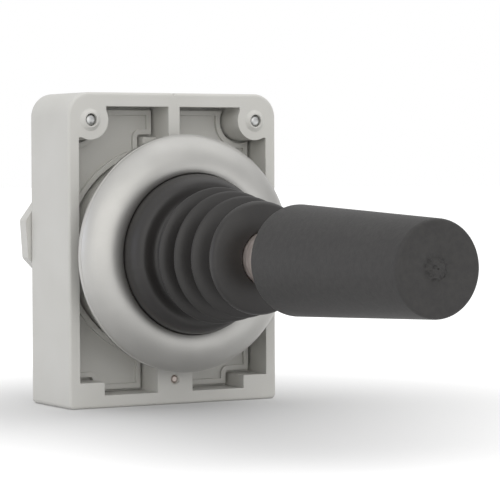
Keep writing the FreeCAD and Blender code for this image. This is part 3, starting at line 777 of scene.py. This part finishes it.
def floor_material():
    material = bpy.data.materials.new("matt_white_floor")
    material.use_nodes = True
    tree = material.node_tree
    tree.nodes.clear()
    plain = add_node(tree, "ShaderNodeBsdfDiffuse", {"Color": FLOOR_TONE})
    soft = add_node(tree, "ShaderNodeBsdfDiffuse", {"Color": FLOOR_TONE_SEEN})
    place = add_node(tree, "ShaderNodeTexCoord").outputs["Object"]
    away = add_node(tree, "ShaderNodeVectorMath", links={0: place}, operation="LENGTH").outputs["Value"]
    # No lift near the joystick, so the floor is greyer round its base: painted shade, also seen in reflections.
    level = add_node(tree, "ShaderNodeMapRange",
                     {"From Min": PAINTED_SHADOW_REACH, "From Max": WHITE_FROM, "To Min": 0.0, "To Max": FLOOR_LIFT},
                     {"Value": away}, interpolation_type="SMOOTHSTEP")
    lift_past_painted_shade = add_node(tree, "ShaderNodeEmission", {"Color": WHITE}, {"Strength": level.outputs["Result"]})
    shown = add_node(tree, "ShaderNodeAddShader", links={0: soft.outputs[0], 1: lift_past_painted_shade.outputs[0]})
    mix = add_node(tree, "ShaderNodeMixShader", links={0: seen_directly(tree), 1: plain.outputs[0],
                                                       2: shown.outputs[0]})
    add_node(tree, "ShaderNodeOutputMaterial", links={"Surface": mix.outputs[0]})
    return material


def add_floor():
    """A round floor, turned like the other pieces, with the dip in its middle."""
    slope = bend((DIP_FLAT, -DIP_DEPTH), (DIP_EDGE, 0.0), DIP_HANDLES, DIP_POINTS)
    shape = turn([(0.0, -DIP_DEPTH)] + slope + [(FLOOR_SIZE / 2 / MM, 0.0)], steps=FLOOR_STEPS, closed=False)
    bmesh.ops.rotate(shape, verts=shape.verts, matrix=Matrix.Rotation(math.pi / 2, 3, "X"))
    bmesh.ops.translate(shape, verts=shape.verts, vec=(DIP_PLACE[0] * MM, DIP_PLACE[1] * MM, cad_box[0][2]))
    smooth(shape)
    mesh = bpy.data.meshes.new("floor")
    shape.to_mesh(mesh)
    shape.free()
    mesh.materials.append(floor_material())
    floor = bpy.data.objects.new("floor", mesh)
    bpy.context.scene.collection.objects.link(floor)


def add_world():
    world = bpy.data.worlds.new("studio")
    world.use_nodes = True
    tree = world.node_tree
    tree.nodes.clear()
    direction = add_node(tree, "ShaderNodeTexCoord").outputs["Generated"]
    towards = add_node(tree, "ShaderNodeVectorMath", {1: TENT_BRIGHTEST}, {0: direction},
                       operation="DOT_PRODUCT").outputs["Value"]
    level = add_node(tree, "ShaderNodeMapRange", {"From Min": -1.0, "From Max": 1.0, "To Min": TENT_DIM,
                                                  "To Max": TENT_BRIGHT}, {"Value": towards})
    tent = add_node(tree, "ShaderNodeBackground", {"Color": WHITE}, {"Strength": level.outputs["Result"]})
    white = add_node(tree, "ShaderNodeBackground", {"Color": WHITE, "Strength": 1.0})
    split = add_node(tree, "ShaderNodeSeparateXYZ", links={"Vector": direction})
    behind = add_node(tree, "ShaderNodeMapRange", dict(zip(("From Min", "From Max"), BACKDROP_FADES_IN)),
                      {"Value": split.outputs["Y"]})
    below_top = add_node(tree, "ShaderNodeMapRange", dict(zip(("From Min", "From Max"), BACKDROP_FADES_OUT)),
                         {"Value": split.outputs["Z"]})
    backdrop = add_node(tree, "ShaderNodeMath", links={0: behind.outputs["Result"], 1: below_top.outputs["Result"]},
                        operation="MULTIPLY")
    shown = add_node(tree, "ShaderNodeMath", links={0: seen_directly(tree), 1: backdrop.outputs[0]},
                     operation="MULTIPLY")
    mix = add_node(tree, "ShaderNodeMixShader", links={0: shown.outputs[0], 1: tent.outputs[0], 2: white.outputs[0]})
    add_node(tree, "ShaderNodeOutputWorld", links={"Surface": mix.outputs[0]})
    bpy.context.scene.world = world


add_floor()
add_world()

# %% [markdown]
# Three soft boxes give the rest of the light: a large one at the front left, a small cool one at the left, which
# marks the side of the adapter, and one above on the right. Each row gives a lamp's name, its place and size in
# metres, its power in watts and its tint.

# %% Lamps
LAMPS = (
    ("front_soft_box", (-0.36, -0.78, 0.06), 1.2, 2.6, "#fffdf8"),
    ("left_soft_box", (-0.82, 0.2, 0.12), 0.5, 0.5, "#e2e8ff"),
    ("top_soft_box", (0.42, -0.05, 0.7), 0.9, 1.1, "#ffffff"),
)
LAMPS_AIM = (0.0, -0.02, 0.0)


def add_soft_box(name, place, size, watts, tint):
    data = bpy.data.lights.new(name, "AREA")
    data.size = size
    data.energy = watts
    data.color = linear(tint)[:3]
    lamp = bpy.data.objects.new(name, data)
    towards = (Vector(LAMPS_AIM) - Vector(place)).to_track_quat("-Z", "Y")
    lamp.matrix_world = Matrix.Translation(place) @ towards.to_matrix().to_4x4()
    bpy.context.scene.collection.objects.link(lamp)


for lamp_values in LAMPS:
    add_soft_box(*lamp_values)
